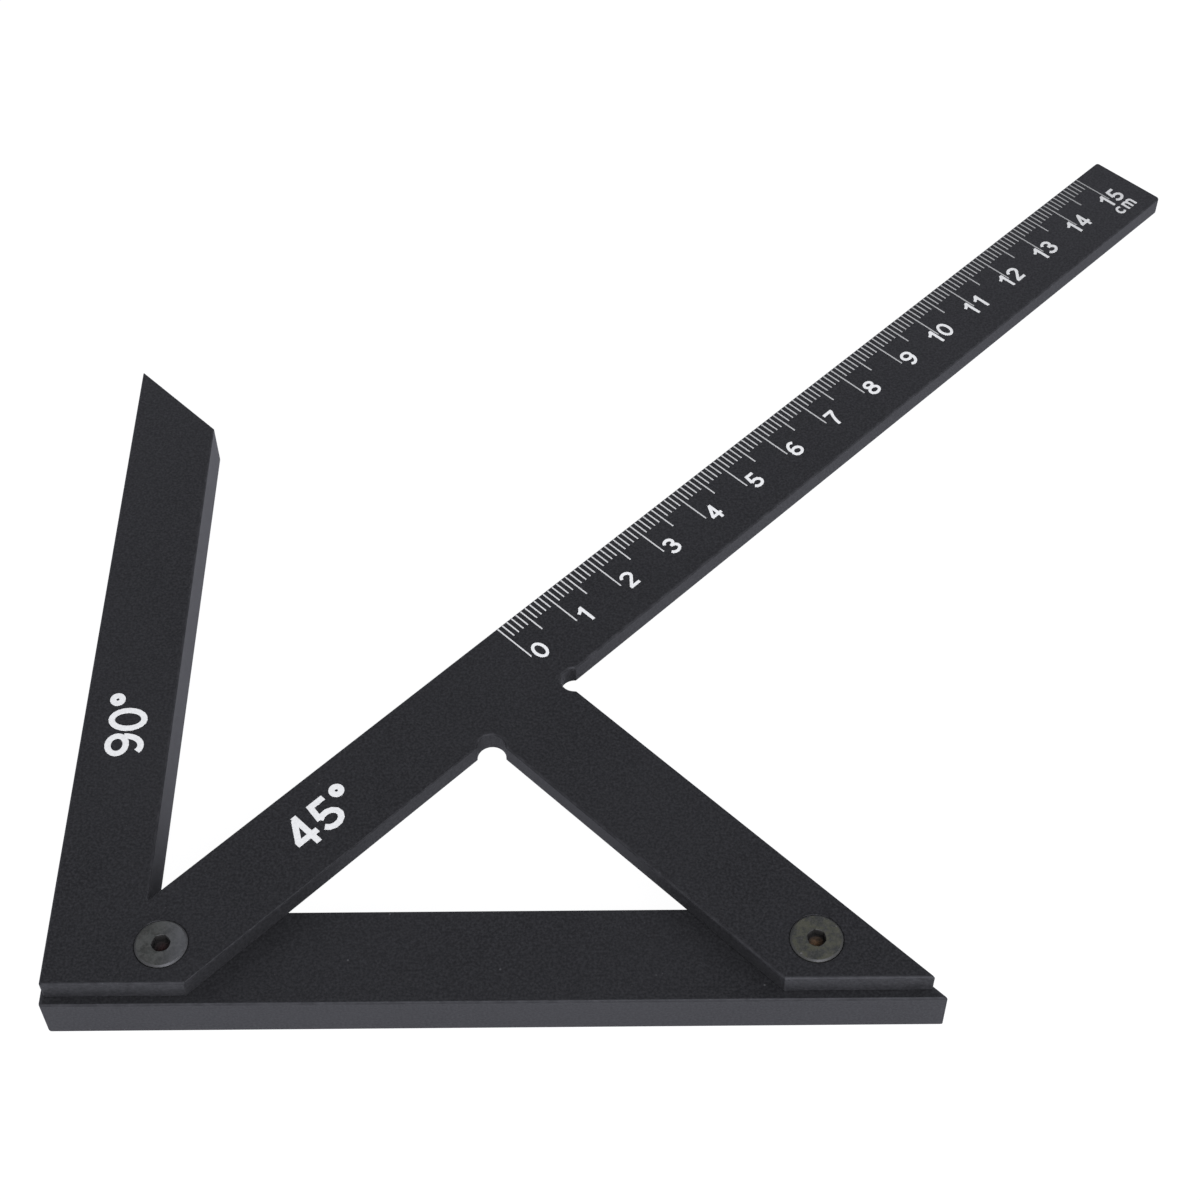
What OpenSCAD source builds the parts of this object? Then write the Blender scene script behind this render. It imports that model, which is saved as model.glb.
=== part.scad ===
// Centre-finding square: a 45 degree ruler blade over a right-angled pair of fences.
// A round or square workpiece sits in the corner of the two fences, under the blade,
// and the graduated edge, which starts in that corner, passes over its centre.
//
// X runs along the fence bar, Y along the fence arm, and Z is up from the resting face.
// The origin is the inside corner of the two fences, at the level of that face.

/* [Blade] */
// Thickness of the ruler, centre arm, brace and corner plate
blade_t = 3.6; // [2.8:0.1:5]
// Width of the ruler and of the centre arm it continues
blade_w = 14.4; // [14:0.1:18]
// Distance along the scale from the fence corner to the zero mark
zero_reach = 69.5; // [64:0.2:80]
// Length of the scale in whole centimetres
scale_cm = 15; // [5:1:20]
// Plain length of blade past the last mark
end_margin = 6.9; // [3:0.1:12]
// Radius of the two corners at the blade's end
end_round = 0.6; // [0.2:0.1:2]

/* [Brace] */
// Width of the brace that ties the blade to the far end of the fence bar
brace_w = 15.0; // [14:0.1:18]
// Distance of the brace's outer edge past the zero mark
brace_past = 0.2; // [0:0.1:1]
// Radius of the cutter relief where the brace meets the blade
relief_r = 2.2; // [1:0.1:3]

/* [Fences] */
// Width of the fence arm, and reach of the blade over the fence bar
arm_w = 13.7; // [12:0.1:16]
// Distance of the fence arm's mitred end behind the zero mark
arm_back = 3.7; // [1:0.1:8]
// Height of the fence arm, which is thicker than the blade but stays clear of the resting face
arm_h = 8.2; // [6:0.1:9.5]
// Height of the fence bar under the blade
bar_h = 8.0; // [7:0.1:12]
// Width of the lip where the fence bar stands out in front of the blade
lip_w = 1.3; // [0.4:0.1:3]
// Reach of the fence bar past the frame at each of its two ends
end_lip = 0.6; // [0.2:0.1:1.5]

/* [Screws] */
// Distance of the corner screw from the fence corner, along the fence bar
corner_screw_x = 2.8; // [0:0.1:4]
// Distance of the end screw from the fence corner, along the fence bar
end_screw_x = 95.9; // [93:0.1:97]
// Distance of both screws in front of the fence corner
screw_front = 7.3; // [6.8:0.1:7.8]
// Nominal thread diameter of the countersunk screws
thread_d = 4; // [3:0.5:4]
// Diameter of the screw heads
head_d = 7.6; // [7:0.1:8]
// Overall length of the screws
screw_len = 8; // [7:0.5:9]
// Width across the flats of the hexagon socket
key_af = 2.5; // [2:0.1:3]
// Depth of the hexagon socket
key_depth = 1.5; // [1:0.1:1.8]
// Depth of the conical lead into the socket
key_lead = 0.15; // [0.1:0.05:0.5]

/* [Marks] */
// Width of the graduation lines
line_w = 0.22; // [0.2:0.01:0.4]
// Reach of the millimetre lines from the graduated edge
mm_line = 3.0; // [2:0.1:4]
// Reach of the 5 mm lines from the graduated edge
half_line = 5.2; // [4.5:0.1:6]
// Reach of the centimetre lines from the graduated edge
cm_line = 7.9; // [6.5:0.1:8]
// Height of the scale numerals
numeral_h = 3.3; // [2.5:0.1:3.5]
// Height of the angle figures on the two arms
angle_h = 6; // [4:0.1:7]
// Thickness of the white marking layer
mark_t = 0.05; // [0.03:0.01:0.1]

/* [Hidden] */
$fn = 64;

black_anodised = "#2b2c2f";
black_oxide = "#45443f";
marking_white = "#f2f2f0";

// Height of the blade's top face, width of the fence bar, and scale reading at the blade's end
top_z = bar_h + blade_t;
bar_w = arm_w + lip_w;
blade_end = 10 * scale_cm + end_margin;
// Distance from the fence corner at which a 45 degree cut at a given scale reading crosses
// either fence face, and its value for the mitres of the bar and of the arm
function crossing(reading) = (zero_reach + reading) * sqrt(2);
bar_crossing = crossing(brace_past + end_lip);
arm_crossing = crossing(-arm_back);
// Step of a relief's centre out of its corner, both ways, as a share of its radius
relief_step = 0.65;
// Length that outreaches every edge, for trimming cuts
beyond = 200;

// Countersink and clearance hole, each wider by its gap than the head or thread in it
sink_gap = 0.4;
hole_gap = 0.5;
sink_d = head_d + sink_gap;
hole_d = thread_d + hole_gap;
// Screw head: a 90 degree cone that stays clear of its seat, under a short upright land
land_z = top_z - sink_gap / 2;
land_h = 0.45;
rim_chamfer = 0.25;
head_top = land_z + land_h;
// Screw shank with its clearance in the tapped hole, and the hole's depth past its tip
thread_gap = 0.05;
tap_past = 0.8;
shank_r = thread_d / 2 - thread_gap;
screw_tip = head_top - screw_len;
tip_chamfer = 0.5;
tap_end = screw_tip - tap_past;
// Height of a drilled hole's pointed end as a share of its radius
drill_point = 0.6;
// Radius of the small flat that a drill's chisel edge leaves at that end
drill_flat_r = 0.12;
// Radius of the drilled hole the socket was pressed from, just inside its flats
drill_inset = 0.15;
socket_drill_r = key_af / 2 - drill_inset;
// Overlap of a cut past the face it opens on
over = 1;
// Angles at which the two sockets came to rest
corner_key_turn = 12;
end_key_turn = 40;

// Clear strip between the graduated edge and the ends of the graduation lines
edge_inset = 0.25;
// Stroke width of the lettering, and step from one letter to the next, as shares of its height
stroke_w = 0.16;
advance = 0.79;
// Number of points round an oval of the lettering
oval_points = 20;
// Foot of the scale numerals from the graduated edge, and where numerals of one and of two
// figures start, along the scale from their line
numeral_base = 9.6;
one_figure_shift = 0.65;
two_figure_shift = -2.1;
// Height of the unit's lettering, its foot, and its start along the scale from the last line
unit_h = 2.75;
unit_base = 12.2;
unit_shift = -1.85;
// Middle of the angle figure on the fence arm in Y, and on the centre arm as a scale reading
arm_figure_y = 31;
centre_figure_reading = -42.8;
// Degree ring's centre and radius, and the width of two figures with it, as shares of height
ring_centre = [1.78, 0.84];
ring_r = [0.12, 0.12];
angle_share = 1.95;

// ---------- plane helpers ----------

// Places a child at a scale reading and a distance from the graduated edge,
// with its X along the scale and its Y towards the graduated edge
module on_blade(reading, across) {
    rotate(45)
        translate([zero_reach + reading, -across])
            children();
}

// Straight strip of the blade plane between two readings and two distances across
module strip(from, to, near, far) {
    on_blade(from, far)
        square([to - from, far - near]);
}

// Plan of the fence arm from a given Y up to its mitred end
module arm_plan(y0) {
    polygon([
        [-arm_w, y0],
        [0, y0],
        [0, arm_crossing],
        [-arm_w, arm_crossing + arm_w]
    ]);
}

// Plan of the whole blade: ruler, centre arm, brace, corner plate and top of the arm
module blade_plan() {
    difference() {
        union() {
            strip(-zero_reach - arm_w * sqrt(2), blade_end - end_round, 0, blade_w);
            strip(blade_end - 2 * end_round, blade_end, end_round, blade_w - end_round);
            for (across = [end_round, blade_w - end_round])
                on_blade(blade_end - end_round, across)
                    circle(r = end_round);
            strip(brace_past - brace_w, brace_past, blade_w / 2, beyond);
            arm_plan(-arm_w);
        }
        translate([-beyond, -arm_w - beyond])
            square([2 * beyond, beyond]);
        relief(brace_past, 1);
        relief(brace_past - brace_w, -1);
    }
}

// Round relief just past the inside corner of blade and brace, on the side given by sense
module relief(reading, sense) {
    step_out = relief_r * relief_step;
    on_blade(reading + sense * step_out, blade_w + step_out)
        circle(r = relief_r);
}

// ---------- frame ----------

// Clearance hole and countersink for one screw, from below the blade to above it
module screw_hole(x) {
    translate([x, -screw_front, 0])
        rotate_extrude()
            polygon([
                [0, bar_h - over],
                [hole_d / 2, bar_h - over],
                [hole_d / 2, top_z - (sink_d - hole_d) / 2],
                [sink_d / 2, top_z],
                [sink_d / 2, top_z + over],
                [0, top_z + over]
            ]);
}

// One machined piece: the thin blade, and the thicker fence arm
module frame() {
    color(black_anodised)
        difference() {
            union() {
                translate([0, 0, bar_h])
                    linear_extrude(blade_t)
                        blade_plan();
                translate([0, 0, top_z - arm_h])
                    linear_extrude(arm_h)
                        arm_plan(0);
            }
            screw_hole(corner_screw_x);
            screw_hole(end_screw_x);
        }
}

// ---------- fence bar ----------

// Blind tapped hole at thread diameter, ending in a drill point
module tapped_hole(x) {
    r = thread_d / 2;
    point_z = tap_end - (r - drill_flat_r) * drill_point;
    translate([x, -screw_front, 0])
        rotate_extrude()
            polygon([
                [0, point_z],
                [drill_flat_r, point_z],
                [r, tap_end],
                [r, bar_h + over],
                [0, bar_h + over]
            ]);
}

// Straight lower bar that stands out past the frame in front and at both ends,
// with its right end mitred like the brace
module fence_bar() {
    left_x = -arm_w - end_lip;
    color(black_anodised)
        difference() {
            linear_extrude(bar_h)
                polygon([
                    [left_x, 0],
                    [left_x, -bar_w],
                    [bar_crossing + bar_w, -bar_w],
                    [bar_crossing, 0]
                ]);
            tapped_hole(corner_screw_x);
            tapped_hole(end_screw_x);
        }
}

// ---------- screws ----------

// Countersunk screw with a hexagon socket turned by a given angle
module screw(x, key_turn) {
    key_r = key_af / sqrt(3);
    socket_z = head_top - key_depth;
    drill_h = (socket_drill_r - drill_flat_r) * drill_point;
    lead_h = key_lead + over;
    color(black_oxide)
        translate([x, -screw_front, 0])
            difference() {
                rotate_extrude()
                    polygon([
                        [0, screw_tip],
                        [shank_r - tip_chamfer, screw_tip],
                        [shank_r, screw_tip + tip_chamfer],
                        [shank_r, land_z - head_d / 2 + shank_r],
                        [head_d / 2, land_z],
                        [head_d / 2, head_top - rim_chamfer],
                        [head_d / 2 - rim_chamfer, head_top],
                        [0, head_top]
                    ]);
                translate([0, 0, socket_z])
                    rotate(key_turn)
                        cylinder(h = key_depth + over, r = key_r, $fn = 6);
                translate([0, 0, socket_z - drill_h])
                    cylinder(h = drill_h, r1 = drill_flat_r, r2 = socket_drill_r);
                translate([0, 0, head_top - key_lead])
                    cylinder(h = lead_h, r1 = key_af / 2, r2 = key_af / 2 + lead_h);
            }
}

module corner_screw() {
    screw(corner_screw_x, corner_key_turn);
}

module end_screw() {
    screw(end_screw_x, end_key_turn);
}

// ---------- marks ----------

// Points of an elliptical arc about a centre, with radii r, from angle a to angle b
function arc(centre, r, a, b, steps = 10) =
    [for (i = [0:steps])
        let (t = a + (b - a) * i / steps)
        centre + [r[0] * cos(t), r[1] * sin(t)]];

function unit(v) = v / norm(v);

// Direction of a path at point i: the mean of the steps before and after it
function heading(p, i) =
    i == 0 ? unit(p[1] - p[0]) :
    i == len(p) - 1 ? unit(p[i] - p[i - 1]) :
    unit(unit(p[i + 1] - p[i]) + unit(p[i] - p[i - 1]));

// Point i of a path moved sideways by d, mitred at corners
function beside(p, i, d) =
    let (
        h = heading(p, i),
        along = i == 0 ? h : unit(p[i] - p[i - 1]),
        reach = d / max(0.6, h * along)
    )
    p[i] + reach * [-h[1], h[0]];

// Pen stroke of lettering weight along a path, at letter height h
module stroke(p, h) {
    last = len(p) - 1;
    polygon(h * concat(
        [for (i = [0:last]) beside(p, i, stroke_w / 2)],
        [for (i = [last:-1:0]) beside(p, i, -stroke_w / 2)]
    ));
}

// Closed oval of lettering weight, at letter height h
module oval(centre, r, h) {
    half = [stroke_w, stroke_w] / 2;
    last_angle = 360 - 360 / oval_points;
    difference() {
        polygon(h * arc(centre, r + half, 0, last_angle, oval_points - 1));
        polygon(h * arc(centre, r - half, 0, last_angle, oval_points - 1));
    }
}

// Plain sans-serif figures and the letters c and m, drawn in a cell 0.72 wide and 1 high
module glyph(c, h) {
    if (c == "0")
        oval([0.36, 0.5], [0.28, 0.42], h);
    if (c == "1") {
        stroke([[0.46, 0], [0.46, 1]], h);
        stroke([[0.14, 0.7], [0.3, 0.78], [0.42, 0.92]], h);
    }
    if (c == "2") {
        stroke(concat(arc([0.36, 0.7], [0.27, 0.22], 172, -35), [[0.14, 0.12]]), h);
        stroke([[0.06, 0.08], [0.66, 0.08]], h);
    }
    if (c == "3") {
        stroke(arc([0.34, 0.725], [0.24, 0.195], 165, -100), h);
        stroke(arc([0.34, 0.305], [0.28, 0.225], 95, -165), h);
    }
    if (c == "4") {
        stroke([[0.5, 0], [0.5, 1]], h);
        stroke([[0.46, 0.9], [0.12, 0.34]], h);
        stroke([[0.04, 0.3], [0.7, 0.3]], h);
    }
    if (c == "5") {
        stroke([[0.62, 0.92], [0.2, 0.92], [0.13, 0.46]], h);
        stroke(arc([0.35, 0.31], [0.28, 0.23], 140, -160), h);
    }
    if (c == "6") {
        oval([0.36, 0.31], [0.27, 0.23], h);
        stroke(arc([0.39, 0.5], [0.3, 0.42], 185, 55), h);
    }
    if (c == "7") {
        stroke([[0.05, 0.92], [0.66, 0.92]], h);
        stroke([[0.59, 0.88], [0.42, 0.6], [0.32, 0.3], [0.28, 0]], h);
    }
    if (c == "8") {
        oval([0.36, 0.74], [0.235, 0.18], h);
        oval([0.36, 0.3], [0.28, 0.22], h);
    }
    if (c == "9") {
        oval([0.36, 0.69], [0.27, 0.23], h);
        stroke(arc([0.33, 0.5], [0.3, 0.42], 5, -125), h);
    }
    if (c == "c")
        stroke(arc([0.34, 0.36], [0.26, 0.28], 45, 315), h);
    if (c == "m") {
        stroke([[0.08, 0], [0.08, 0.7]], h);
        stroke(concat(arc([0.265, 0.46], [0.185, 0.18], 170, 0), [[0.45, 0]]), h);
        stroke(concat(arc([0.635, 0.46], [0.185, 0.18], 170, 0), [[0.82, 0]]), h);
    }
}

// Row of glyphs from the origin along X
module word(chars, h) {
    for (i = [0:len(chars) - 1])
        translate([i * advance * h, 0])
            glyph(chars[i], h);
}

// Figures for an angle with a small degree ring, centred along X on the origin
module angle_figure(chars, h) {
    translate([-angle_share * h / 2, 0]) {
        word(chars, h);
        oval(ring_centre, ring_r, h);
    }
}

// Raises plane marks on to the top of the blade
module printed() {
    color(marking_white)
        translate([0, 0, top_z])
            linear_extrude(mark_t)
                children();
}

// Reach of the graduation line at a whole millimetre
function line_reach(mm) = mm % 10 == 0 ? cm_line : mm % 5 == 0 ? half_line : mm_line;

module scale_lines() {
    printed()
        for (mm = [0:10 * scale_cm])
            strip(mm - line_w / 2, mm + line_w / 2, edge_inset, line_reach(mm));
}

module scale_numerals() {
    printed() {
        for (cm = [0:scale_cm])
            on_blade(10 * cm + (cm < 10 ? one_figure_shift : two_figure_shift), numeral_base)
                word(str(cm), numeral_h);
        on_blade(10 * scale_cm + unit_shift, unit_base)
            word("cm", unit_h);
    }
}

module angle_figures() {
    printed() {
        translate([(angle_h - arm_w) / 2, arm_figure_y])
            rotate(90)
                angle_figure("90", angle_h);
        on_blade(centre_figure_reading, (blade_w + angle_h) / 2)
            angle_figure("45", angle_h);
    }
}

frame();
fence_bar();
corner_screw();
end_screw();
scale_lines();
scale_numerals();
angle_figures();
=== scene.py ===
"""Looks, floor, light and camera for the centre square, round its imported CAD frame."""

import math

import bpy
from mathutils import Matrix, Vector


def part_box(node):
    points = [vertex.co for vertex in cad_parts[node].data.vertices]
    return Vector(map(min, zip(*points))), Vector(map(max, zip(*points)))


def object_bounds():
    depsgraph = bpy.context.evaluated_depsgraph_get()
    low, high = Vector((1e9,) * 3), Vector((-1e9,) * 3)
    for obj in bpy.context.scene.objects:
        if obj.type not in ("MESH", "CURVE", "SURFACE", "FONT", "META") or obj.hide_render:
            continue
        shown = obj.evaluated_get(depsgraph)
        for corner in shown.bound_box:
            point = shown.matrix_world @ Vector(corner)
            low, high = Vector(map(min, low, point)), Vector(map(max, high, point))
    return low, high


MM = 0.001

# ---------- camera: where the viewer stands ----------
AIM = (65.49 * MM, 64.15 * MM, 0)  # the point on the floor that the camera looks at
AIM_DISTANCE = 371.04 * MM
HEADING = math.radians(-0.10)  # from straight along +Y towards +X
ELEVATION = math.radians(51.08)
ROLL = math.radians(-0.55)
LENS = 67.02

# ---------- edge breaks ----------
FRAME_EDGE = 0.35 * MM  # how far a broken edge reaches into its faces
BAR_EDGE = 0.5 * MM
EDGE_STEPS = 4  # facets round one broken edge
SHARP_ANGLE = math.radians(50)  # edges turning more than this are broken
CREASE_ANGLE = math.radians(40)  # edges still turning more than this stay crisp in the shading
FLAT_ANGLE = math.radians(0.5)  # faces closer than this to one plane count as one face
JOIN = 0.001 * MM  # vertices closer than this count as one vertex

# ---------- light ----------
SKY_FADE = (0.5, 0.92, 0.7, 0.08)  # sine of elevation from and to, and the studio's strength there
COOL = (0.95, 0.96, 1.09, 1.0)
FLOOR_GLOW = 1.1  # the even white the camera sees on the floor, and its share there
FLOOR_EVEN = 0.88
FLOOR_GREYS = (0.74, 0.78)  # the two tones of the floor itself
FLOOR_HALF = 3.0  # half the floor's side, in metres
FLOOR_GAP = 0.05 * MM  # under the resting face, so that the two never share a plane

# ---------- materials: lengths in millimetres, colours linear ----------
SPECK_CORE = 0.55  # solid part of a speck, as a share of its radius
ANODISED_DARK = 0.0125  # greys of the anodising: its two cloud tones and the grains' peaks
ANODISED_LIGHT = 0.016
ANODISED_GRAIN = 0.029
DUST_GREY = 0.2
EDGE_DARK = 0.02  # greys of the broken edges, lighter than the body partly from wear and partly as a painted highlight, and of their nicks
EDGE_LIGHT = 0.036
NICK_GREY = 0.09
STEEL_DARK = (0.031, 0.033, 0.027, 1)  # stains on the screws, and their two tints
STEEL_GREY = (0.058, 0.062, 0.061, 1)
STEEL_OLIVE = (0.06, 0.061, 0.038, 1)
STEEL_GRAIN = 0.095  # greys of the screws' grain, the painted light on their right side, chips, rim and socket
STEEL_PAINTED_LIGHT = 0.12
STEEL_CHIP = 0.17
STEEL_RIM = 0.035
STEEL_SOCKET = 0.012
DULL_RUST = (0.045, 0.022, 0.019, 1)
BRIGHT_RUST = (0.21, 0.125, 0.06, 1)
SOCKET_R = 1.5  # radius round a screw's axis that holds its socket
SOCKET_DEEP = (1.2, 1.45)  # depths between which its rusty bottom begins
RIM_WIDTH = (0.32, 0.2)  # distances in from the head's edge between which its rim begins
MARKING_WHITE = (1.0, 1.0, 0.91, 1.0)
ALONG_BLADE = (0.7071, 0.7071, 0)  # direction of the scale
FADE_FROM = 70  # distances from the fence corner where the marking starts to thin and is thinnest
FADE_TO = 225
NUMERALS_FADE_FROM = 155

# ---------- node helpers ----------


class Nodes:
    """Short calls for building one material's node tree."""

    def __init__(self, name):
        self.material = bpy.data.materials.new(name)
        self.material.use_nodes = True
        self.tree = self.material.node_tree
        self.shader = self.tree.nodes["Principled BSDF"]

    def add(self, kind, **settings):
        node = self.tree.nodes.new(kind)
        for key, value in settings.items():
            setattr(node, key, value)
        return node

    def join(self, source, target):
        self.tree.links.new(source, target)

    def feed(self, target, value):
        """Sets an input to a number or colour, or links it to another node's output."""
        if isinstance(value, bpy.types.NodeSocket):
            self.join(value, target)
        else:
            target.default_value = value

    def millimetres(self):
        """Object coordinates in millimetres, so that texture scales read per millimetre."""
        place = self.add("ShaderNodeTexCoord")
        scale = self.add("ShaderNodeVectorMath", operation="SCALE")
        scale.inputs["Scale"].default_value = 1 / MM
        self.join(place.outputs["Object"], scale.inputs[0])
        return scale.outputs[0]

    def noise(self, place, scale, detail=2.0, rough=0.5):
        node = self.add("ShaderNodeTexNoise")
        self.join(place, node.inputs["Vector"])
        node.inputs["Scale"].default_value = scale
        node.inputs["Detail"].default_value = detail
        node.inputs["Roughness"].default_value = rough
        return node.outputs["Fac"]

    def remap(self, value, low, high, to_low=0.0, to_high=1.0):
        node = self.add("ShaderNodeMapRange", clamp=True)
        self.feed(node.inputs["Value"], value)
        node.inputs["From Min"].default_value = low
        node.inputs["From Max"].default_value = high
        node.inputs["To Min"].default_value = to_low
        node.inputs["To Max"].default_value = to_high
        return node.outputs["Result"]

    def math(self, operation, a, b=0.0):
        node = self.add("ShaderNodeMath", operation=operation)
        self.feed(node.inputs[0], a)
        self.feed(node.inputs[1], b)
        return node.outputs[0]

    def mix(self, share, a, b):
        node = self.add("ShaderNodeMix", data_type="RGBA")
        self.feed(node.inputs["Factor"], share)
        self.feed(node.inputs["A"], a)
        self.feed(node.inputs["B"], b)
        return node.outputs["Result"]

    def specks(self, place, spacing, size, share, offset=(0.0, 0.0, 0.0)):
        """Mask of small round specks: one per cell of the given spacing, in a share of the cells,
        with the cells moved by an offset."""
        shift = self.add("ShaderNodeVectorMath", operation="ADD")
        self.join(place, shift.inputs[0])
        shift.inputs[1].default_value = offset
        cells = self.add("ShaderNodeTexVoronoi")
        self.join(shift.outputs[0], cells.inputs["Vector"])
        cells.inputs["Scale"].default_value = 1 / spacing
        reach = size / spacing
        dot = self.remap(cells.outputs["Distance"], reach * SPECK_CORE, reach, 1.0, 0.0)
        pick = self.add("ShaderNodeSeparateColor")
        self.join(cells.outputs["Color"], pick.inputs[0])
        kept = self.math("LESS_THAN", pick.outputs[0], share)
        return self.math("MULTIPLY", dot, kept)

    def bump(self, height, distance, strength=1.0):
        node = self.add("ShaderNodeBump")
        self.join(height, node.inputs["Height"])
        node.inputs["Distance"].default_value = distance
        node.inputs["Strength"].default_value = strength
        self.join(node.outputs["Normal"], self.shader.inputs["Normal"])

    def finish(self, colour, roughness, metallic=0.0, specular=0.5):
        self.feed(self.shader.inputs["Base Color"], colour)
        self.feed(self.shader.inputs["Roughness"], roughness)
        self.feed(self.shader.inputs["Metallic"], metallic)
        self.feed(self.shader.inputs["Specular IOR Level"], specular)
        return self.material


def grey(level, warm=0.0):
    """Linear grey of a given level; warm above 0 leans to yellow and below 0 to blue."""
    return (level * (1 + warm), level, level * (1 - 2 * warm), 1.0)


# ---------- materials ----------


def anodised():
    """Black anodising over a fine bead-blasted surface, with faint clouding, grain and dust."""
    n = Nodes("black_anodised")
    place = n.millimetres()
    clouds = n.noise(place, scale=0.045, detail=3.0)
    grain = n.noise(place, scale=2.6, detail=3.0, rough=0.7)
    blast = n.noise(place, scale=7.0, detail=2.0, rough=0.7)
    colour = n.mix(n.remap(clouds, 0.35, 0.65), grey(ANODISED_DARK), grey(ANODISED_LIGHT))
    colour = n.mix(n.remap(grain, 0.4, 0.7), colour, grey(ANODISED_GRAIN))
    dust = n.specks(place, spacing=5.5, size=0.2, share=0.4)
    fine_dust = n.specks(place, spacing=2.3, size=0.1, share=0.35, offset=(7.0, 11.9, 2.1))
    dust = n.math("MAXIMUM", dust, n.math("MULTIPLY", fine_dust, 0.6))
    colour = n.mix(n.math("MULTIPLY", dust, 0.3), colour, grey(DUST_GREY, 0.02))
    roughness = n.remap(grain, 0.3, 0.7, 0.38, 0.46)
    shine = n.remap(grain, 0.35, 0.65, 0.28, 0.42)
    height = n.math("ADD", n.math("MULTIPLY", grain, 0.6), n.math("MULTIPLY", blast, 0.4))
    n.bump(height, distance=0.02 * MM, strength=0.4)
    return n.finish(colour, roughness, specular=shine)


def worn_edge_and_painted_highlight():
    """The broken edges, where handling has thinned the anodising and left it a little brighter;
    the extra brightness is also a painted highlight standing in for light caught along the edges.
    """
    n = Nodes("worn_edge_and_painted_highlight")
    place = n.millimetres()
    patches = n.noise(place, scale=0.6, detail=4.0, rough=0.7)
    nicks = n.noise(place, scale=2.4, detail=3.0, rough=0.6)
    # edge colour lighter than the body: wear patches, and in part a painted highlight along the
    # broken edges
    colour = n.mix(n.remap(patches, 0.4, 0.68), grey(EDGE_DARK), grey(EDGE_LIGHT))
    colour = n.mix(n.remap(nicks, 0.66, 0.74, 0.0, 0.5), colour, grey(NICK_GREY, 0.01))
    return n.finish(colour, roughness=0.5, specular=0.2)


def place_in_head(n, place, name):
    """Sideways offset from a screw's axis, radius round it and depth under its top, as node
    outputs, with the head's radius as a number."""
    low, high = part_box(name)
    centre = (low + high) / 2
    head_r = (high.x - low.x) / 2 / MM
    offset = n.add("ShaderNodeVectorMath", operation="SUBTRACT")
    n.join(place, offset.inputs[0])
    offset.inputs[1].default_value = (centre.x / MM, centre.y / MM, high.z / MM)
    split = n.add("ShaderNodeSeparateXYZ")
    n.join(offset.outputs[0], split.inputs[0])
    across = n.math("POWER", split.outputs["X"], 2.0)
    along = n.math("POWER", split.outputs["Y"], 2.0)
    radius = n.math("SQRT", n.math("ADD", across, along))
    depth = n.math("MULTIPLY", split.outputs["Z"], -1.0)
    return split.outputs["X"], radius, depth, head_r


def screw_steel(name, olive, painted_light_share, rust):
    """Oxide-blacked steel worn to a dull grey that leans to olive by a given share, with painted
    light making it lighter on its right by another share, darker in patches along the rim, and
    dark inside the socket with rust of a given colour at its bottom."""
    n = Nodes(name + "_steel")
    place = n.millimetres()
    sideways, radius, depth, head_r = place_in_head(n, place, name)
    stain = n.noise(place, scale=0.8, detail=3.0, rough=0.6)
    grain = n.noise(place, scale=4.0, detail=3.0, rough=0.7)
    tint = n.mix(olive, STEEL_GREY, STEEL_OLIVE)
    colour = n.mix(n.remap(stain, 0.42, 0.58), STEEL_DARK, tint)
    colour = n.mix(n.remap(grain, 0.45, 0.75, 0.0, 0.6), colour, grey(STEEL_GRAIN, 0.06))
    # painted light: the head is painted lighter towards its right, as if lit from that side
    right = n.math("MULTIPLY", n.remap(sideways, -0.5, 2.5), painted_light_share)
    colour = n.mix(right, colour, grey(STEEL_PAINTED_LIGHT, -0.01))
    chips = n.specks(place, spacing=1.7, size=0.22, share=0.22)
    colour = n.mix(n.math("MULTIPLY", chips, 0.6), colour, grey(STEEL_CHIP, 0.02))
    # the head is darker in patches along its rim
    rim = n.remap(radius, head_r - RIM_WIDTH[0], head_r - RIM_WIDTH[1])
    worn = n.math("MULTIPLY", rim, n.remap(stain, 0.35, 0.6, 0.2, 0.8))
    colour = n.mix(worn, colour, grey(STEEL_RIM, 0.03))
    near_axis = n.remap(radius, SOCKET_R, SOCKET_R - 0.05)
    inside = n.math("MULTIPLY", near_axis, n.remap(depth, 0.0, 0.1))
    colour = n.mix(inside, colour, grey(STEEL_SOCKET, 0.1))
    crust = n.remap(n.noise(place, scale=1.6, detail=3.0, rough=0.7), 0.35, 0.6, 0.3, 1.0)
    crust = n.math("MULTIPLY", crust, n.remap(radius, 1.2, 0.5))
    bottom = n.math("MULTIPLY", near_axis, n.remap(depth, *SOCKET_DEEP))
    colour = n.mix(n.math("MULTIPLY", bottom, crust), colour, rust)
    n.bump(grain, distance=0.03 * MM, strength=0.4)
    rough = n.mix(inside, grey(0.45), grey(0.85))
    return n.finish(colour, rough, specular=0.4)


def marking(name, near, far, fade_from=FADE_FROM):
    """Matt white marking with slightly uneven cover, thinning from near to far along the blade,
    from a given distance from the fence corner."""
    n = Nodes(name)
    place = n.millimetres()
    along = n.add("ShaderNodeVectorMath", operation="DOT_PRODUCT")
    n.join(place, along.inputs[0])
    along.inputs[1].default_value = ALONG_BLADE
    cover = n.remap(n.noise(place, scale=2.6, detail=4.0, rough=0.6), 0.3, 0.6, 0.88, 1.0)
    level = n.remap(along.outputs["Value"], fade_from, FADE_TO, near, far)
    colour = n.mix(n.math("MULTIPLY", level, cover), grey(0.0), MARKING_WHITE)
    return n.finish(colour, roughness=0.6, specular=0.3)


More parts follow.
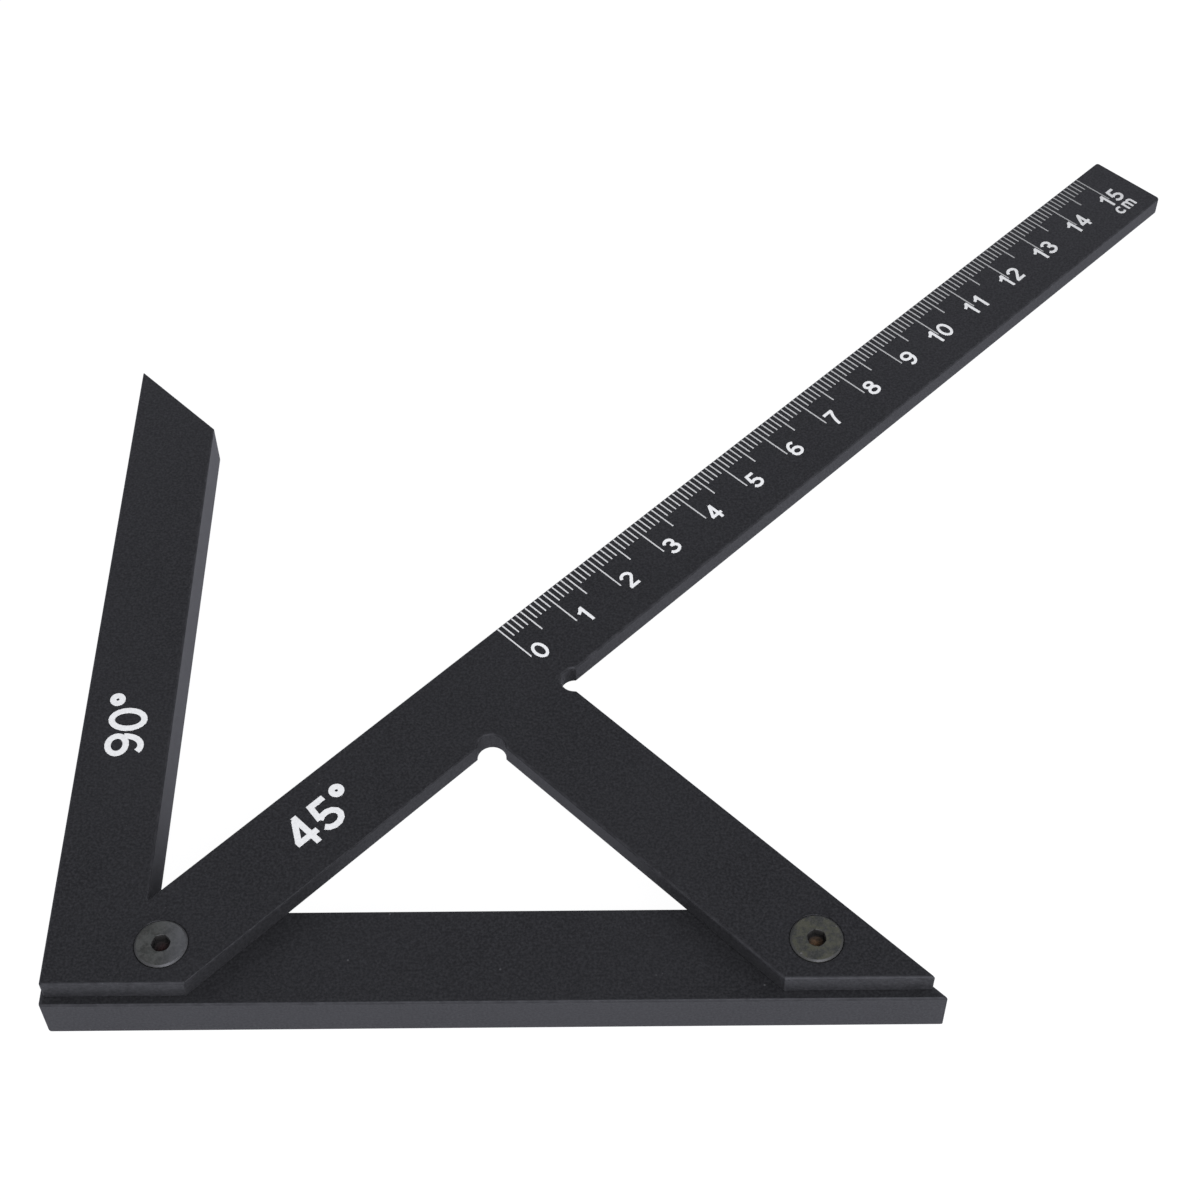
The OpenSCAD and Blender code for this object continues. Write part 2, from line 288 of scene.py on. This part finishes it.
def floor_white():
    """Plain pale floor. The camera sees it almost evenly white, with only faint contact shadows,
    and everything else sees it as it is lit."""
    n = Nodes("pale_floor")
    place = n.millimetres()
    tone = n.noise(place, scale=0.004)
    n.finish(n.mix(tone, grey(FLOOR_GREYS[0]), grey(FLOOR_GREYS[1])), roughness=0.7, specular=0.2)
    glow = n.add("ShaderNodeEmission")
    glow.inputs["Color"].default_value = grey(1.0)
    glow.inputs["Strength"].default_value = FLOOR_GLOW
    path = n.add("ShaderNodeLightPath")
    seen = n.add("ShaderNodeMixShader")
    share = n.math("MULTIPLY", path.outputs["Is Camera Ray"], FLOOR_EVEN)
    n.join(share, seen.inputs[0])
    n.join(n.shader.outputs[0], seen.inputs[1])
    n.join(glow.outputs[0], seen.inputs[2])
    n.join(seen.outputs[0], n.tree.nodes["Material Output"].inputs["Surface"])
    return n.material


# ---------- CAD nodes ----------


def crease_marker():
    """Geometry nodes that mark the creases of a mesh as sharp edges."""
    group = bpy.data.node_groups.new("mark_creases", "GeometryNodeTree")
    group.interface.new_socket("Geometry", in_out="INPUT", socket_type="NodeSocketGeometry")
    group.interface.new_socket("Geometry", in_out="OUTPUT", socket_type="NodeSocketGeometry")
    start = group.nodes.new("NodeGroupInput")
    end = group.nodes.new("NodeGroupOutput")
    turn = group.nodes.new("GeometryNodeInputMeshEdgeAngle")
    crease = group.nodes.new("FunctionNodeCompare")
    crease.data_type = "FLOAT"
    crease.operation = "GREATER_THAN"
    crease.inputs["B"].default_value = CREASE_ANGLE
    shade = group.nodes.new("GeometryNodeSetShadeSmooth")
    shade.domain = "EDGE"
    shade.inputs["Shade Smooth"].default_value = False
    group.links.new(turn.outputs["Unsigned Angle"], crease.inputs["A"])
    group.links.new(crease.outputs["Result"], shade.inputs["Selection"])
    group.links.new(start.outputs["Geometry"], shade.inputs["Geometry"])
    group.links.new(shade.outputs["Geometry"], end.inputs["Geometry"])
    return group


def break_edges(thing, width, creases):
    """Small rounded edge breaks: joins the split vertices, clears coplanar edges, then bevels.
    The broken edges take the object's second material."""
    weld = thing.modifiers.new("weld", "WELD")
    weld.merge_threshold = JOIN
    flats = thing.modifiers.new("flats", "DECIMATE")
    flats.decimate_type = "DISSOLVE"
    flats.angle_limit = FLAT_ANGLE
    bevel = thing.modifiers.new("edges", "BEVEL")
    bevel.width = width
    bevel.segments = EDGE_STEPS
    bevel.limit_method = "ANGLE"
    bevel.angle_limit = SHARP_ANGLE
    bevel.material = 1
    bevel.use_clamp_overlap = False
    bevel.miter_outer = "MITER_ARC"
    clean = thing.modifiers.new("clean", "WELD")
    clean.merge_threshold = JOIN
    thing.modifiers.new("creases", "NODES").node_group = creases
    shading = thing.modifiers.new("shading", "WEIGHTED_NORMAL")
    shading.weight = 100  # the large faces decide the normals, so that they stay flat
    shading.keep_sharp = True


def dress(name, *materials):
    """Gives a CAD node its materials."""
    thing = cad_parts[name]
    thing.data.materials.clear()
    for material in materials:
        thing.data.materials.append(material)
    return thing


def dress_tool():
    body = anodised()
    # second material of frame and bar: edge wear plus a painted highlight on the broken edges
    edge = worn_edge_and_painted_highlight()
    creases = crease_marker()
    break_edges(dress("frame", body, edge), FRAME_EDGE, creases)
    break_edges(dress("fence_bar", body, edge), BAR_EDGE, creases)
    # each head is painted lighter on its right by the given share, as painted light
    corner_steel = screw_steel("corner_screw", olive=0.35, painted_light_share=0.4, rust=DULL_RUST)
    end_steel = screw_steel("end_screw", olive=1.0, painted_light_share=0.05, rust=BRIGHT_RUST)
    dress("corner_screw", corner_steel)
    dress("end_screw", end_steel)
    dress("scale_lines", marking("line_marking", 0.82, 0.36))
    dress("scale_numerals", marking("numeral_marking", 1.0, 0.74, NUMERALS_FADE_FROM))
    dress("angle_figures", marking("figure_marking", 0.95, 0.95))


# ---------- stage ----------


def make_floor():
    half = FLOOR_HALF
    mesh = bpy.data.meshes.new("floor")
    corners = [(-half, -half), (half, -half), (half, half), (-half, half)]
    mesh.from_pydata([(x, y, -FLOOR_GAP) for x, y in corners], [], [(0, 1, 2, 3)])
    mesh.materials.append(floor_white())
    floor = bpy.data.objects.new("floor", mesh)
    bpy.context.scene.collection.objects.link(floor)


def make_world():
    """Dim studio all round, paler near the horizon, and pale where the camera sees it directly."""
    world = bpy.data.worlds.new("studio")
    world.use_nodes = True
    tree = world.node_tree
    tree.nodes.clear()
    direction = tree.nodes.new("ShaderNodeTexCoord")
    split = tree.nodes.new("ShaderNodeSeparateXYZ")
    tree.links.new(direction.outputs["Generated"], split.inputs[0])
    height = tree.nodes.new("ShaderNodeMapRange")
    tree.links.new(split.outputs["Z"], height.inputs["Value"])
    for name, value in zip(("From Min", "From Max", "To Min", "To Max"), SKY_FADE):
        height.inputs[name].default_value = value
    dim = tree.nodes.new("ShaderNodeBackground")
    tree.links.new(height.outputs["Result"], dim.inputs["Strength"])
    pale = tree.nodes.new("ShaderNodeBackground")
    dim.inputs["Color"].default_value = COOL
    pale.inputs["Color"].default_value = grey(1.0)
    path = tree.nodes.new("ShaderNodeLightPath")
    choose = tree.nodes.new("ShaderNodeMixShader")
    out = tree.nodes.new("ShaderNodeOutputWorld")
    tree.links.new(path.outputs["Is Camera Ray"], choose.inputs[0])
    tree.links.new(dim.outputs[0], choose.inputs[1])
    tree.links.new(pale.outputs[0], choose.inputs[2])
    tree.links.new(choose.outputs[0], out.inputs["Surface"])
    bpy.context.scene.world = world


def softbox(name, place, aim, size, watts):
    """Square area light at a place, facing an aim point."""
    light = bpy.data.lights.new(name, "AREA")
    light.size = size
    light.energy = watts
    light.color = COOL[:3]
    lamp = bpy.data.objects.new(name, light)
    lamp.location = place
    lamp.rotation_euler = (Vector(aim) - Vector(place)).to_track_quat("-Z", "Y").to_euler()
    bpy.context.scene.collection.objects.link(lamp)


def make_lights(centre):
    softbox("high_softbox", centre + Vector((0.35, -1.0, 1.1)), centre, size=1.0, watts=15)
    softbox("low_softbox", centre + Vector((0.15, -1.3, 0.3)), centre, size=0.5, watts=8)


def make_camera():
    """Camera at the viewing angle, built from its aim point, distance, heading, tilt and roll."""
    flat = math.cos(ELEVATION)
    ahead = Vector((math.sin(HEADING) * flat, math.cos(HEADING) * flat, -math.sin(ELEVATION)))
    camera_data = bpy.data.cameras.new("camera")
    camera_data.lens = LENS
    camera_data.sensor_width = 36  # millimetres, as the lens
    camera_data.clip_start = 0.01
    camera = bpy.data.objects.new("camera", camera_data)
    turn = ahead.to_track_quat("-Z", "Y").to_matrix() @ Matrix.Rotation(ROLL, 3, "Z")
    camera.matrix_world = Matrix.Translation(Vector(AIM) - ahead * AIM_DISTANCE) @ turn.to_4x4()
    bpy.context.scene.collection.objects.link(camera)
    bpy.context.scene.camera = camera


# ---------- the scene ----------

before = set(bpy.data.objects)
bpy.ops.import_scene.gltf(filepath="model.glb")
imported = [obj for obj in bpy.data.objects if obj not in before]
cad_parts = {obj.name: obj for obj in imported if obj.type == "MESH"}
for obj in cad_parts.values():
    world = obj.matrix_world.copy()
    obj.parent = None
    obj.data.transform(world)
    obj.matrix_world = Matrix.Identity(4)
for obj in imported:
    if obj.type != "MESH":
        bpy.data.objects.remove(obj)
cad_low, cad_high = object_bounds()

dress_tool()
make_floor()
make_world()
make_lights((cad_low + cad_high) / 2)
make_camera()
bpy.context.scene.view_settings.view_transform = "Standard"
